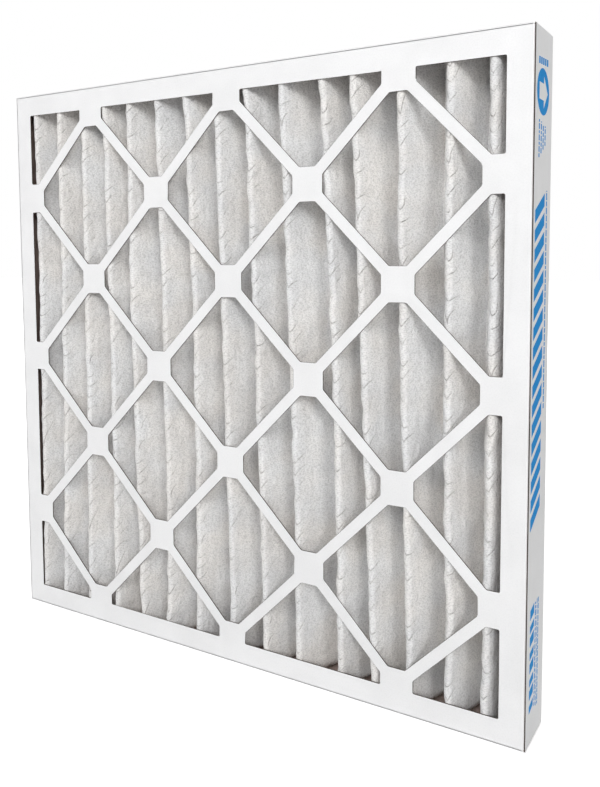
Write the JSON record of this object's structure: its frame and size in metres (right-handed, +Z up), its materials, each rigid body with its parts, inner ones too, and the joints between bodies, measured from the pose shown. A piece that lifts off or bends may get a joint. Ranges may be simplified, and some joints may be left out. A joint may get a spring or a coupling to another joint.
{
  "type": "pleated panel air filter",
  "caption": "Pleated panel air filter: folded non-woven media on an expanded metal grid, held between two nested die-cut board trays with diagonal lattice faces.",
  "frame": {"origin": "middle of the bottom edge, halfway through the depth", "axes": "+X across the width, +Y the way the air flows (the front face looks along -Y), +Z up"},
  "size_m": [0.4952, 0.0444, 0.4953],
  "materials": {
    "front_board": "matte",
    "rear_board": "matte",
    "media": "matte",
    "grid": "satin"
  },
  "bodies": {
    "root": {"front_frame": "front_board", "rear_frame": "rear_board", "pleated_media": "media", "support_grid": "grid"}
  },
  "joints": []
}
